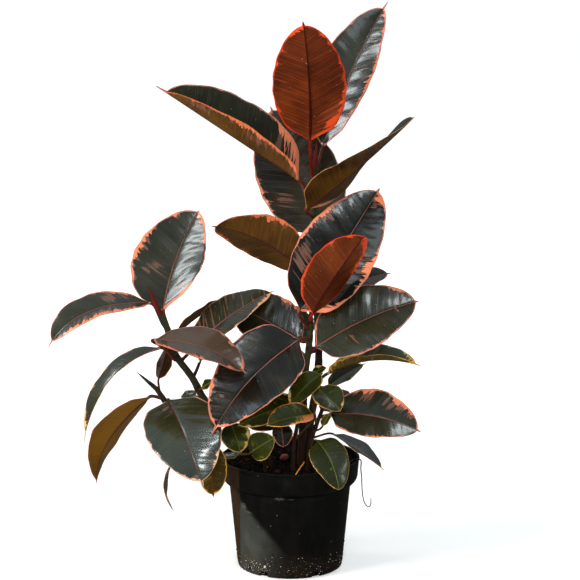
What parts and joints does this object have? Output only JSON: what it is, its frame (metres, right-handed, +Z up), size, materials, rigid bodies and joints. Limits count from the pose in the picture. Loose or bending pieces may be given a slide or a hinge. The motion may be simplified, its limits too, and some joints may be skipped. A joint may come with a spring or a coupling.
{
  "type": "potted rubber plant",
  "caption": "Rubber plant with dark, pink-edged leaves on upright stems, growing in a round black nursery pot full of soil.",
  "frame": {"origin": "centre of the pot's underside, on the surface that it stands on", "axes": "+Z up along the pot's axis, -Y towards the side that the picture shows, +X to its right"},
  "size_m": [0.4426, 0.2519, 0.6816],
  "materials": {
    "pot_plastic": "charcoal black moulded plastic, dusty with soil near the base",
    "soil": "dark damp peat with white specks",
    "stem": "smooth young bark, green above and brown below, with leaf scars",
    "dark_leaf": "glossy near-black green with jagged salmon pink margins, bronze underneath",
    "young_leaf": "red-brown young leaf with a vivid red margin",
    "green_leaf": "glossy olive green with cream margins",
    "litter": "dry orange-brown root and straw"
  },
  "bodies": {
    "root": {"pot": "pot_plastic", "soil": "soil", "tall_stem": "stem", "front_stem": "stem", "left_stem": "stem", "right_sucker": "stem", "centre_sucker": "stem", "left_sucker": "stem", "top_red_leaf": "young_leaf", "top_back_leaf": "dark_leaf", "upper_left_leaf": "dark_leaf", "leaning_back_leaf": "dark_leaf", "upper_right_leaf": "dark_leaf", "left_bronze_leaf": "dark_leaf", "right_tip_leaf": "dark_leaf", "right_trough_leaf": "dark_leaf", "right_under_leaf": "dark_leaf", "back_high_leaf": "dark_leaf", "back_left_leaf": "dark_leaf", "back_right_leaf": "dark_leaf", "stem_small_leaf": "green_leaf", "front_tall_leaf": "dark_leaf", "front_red_leaf": "young_leaf", "right_mid_leaf": "dark_leaf", "big_front_leaf": "dark_leaf", "mid_dark_leaf": "dark_leaf", "mid_backlit_leaf": "green_leaf", "centre_green_leaf": "green_leaf", "left_near_leaf": "dark_leaf", "left_arch_leaf": "dark_leaf", "far_left_leaf": "dark_leaf", "left_upright_leaf": "dark_leaf", "mid_left_leaf": "dark_leaf", "mid_edge_leaf": "dark_leaf", "low_behind_leaf": "dark_leaf", "low_green_leaf": "green_leaf", "left_stub_leaf": "green_leaf", "left_small_leaf": "green_leaf", "twig_leaf": "dark_leaf", "left_hanging_leaf": "dark_leaf", "left_inner_leaf": "dark_leaf", "low_left_leaf": "green_leaf", "low_sliver_leaf": "dark_leaf", "right_low_leaf": "dark_leaf", "right_droop_leaf": "dark_leaf", "over_rim_leaf": "green_leaf", "green_fold_leaf": "green_leaf", "sucker_small_leaf": "green_leaf", "under_green_leaf": "green_leaf", "under_orange_leaf": "green_leaf", "small_dark_leaf": "dark_leaf", "under_dark_leaf": "dark_leaf", "rim_left_leaf": "green_leaf", "bright_green_leaf": "green_leaf", "root_strand": "litter", "straw": "litter", "fallen_bud": "young_leaf"}
  },
  "joints": []
}
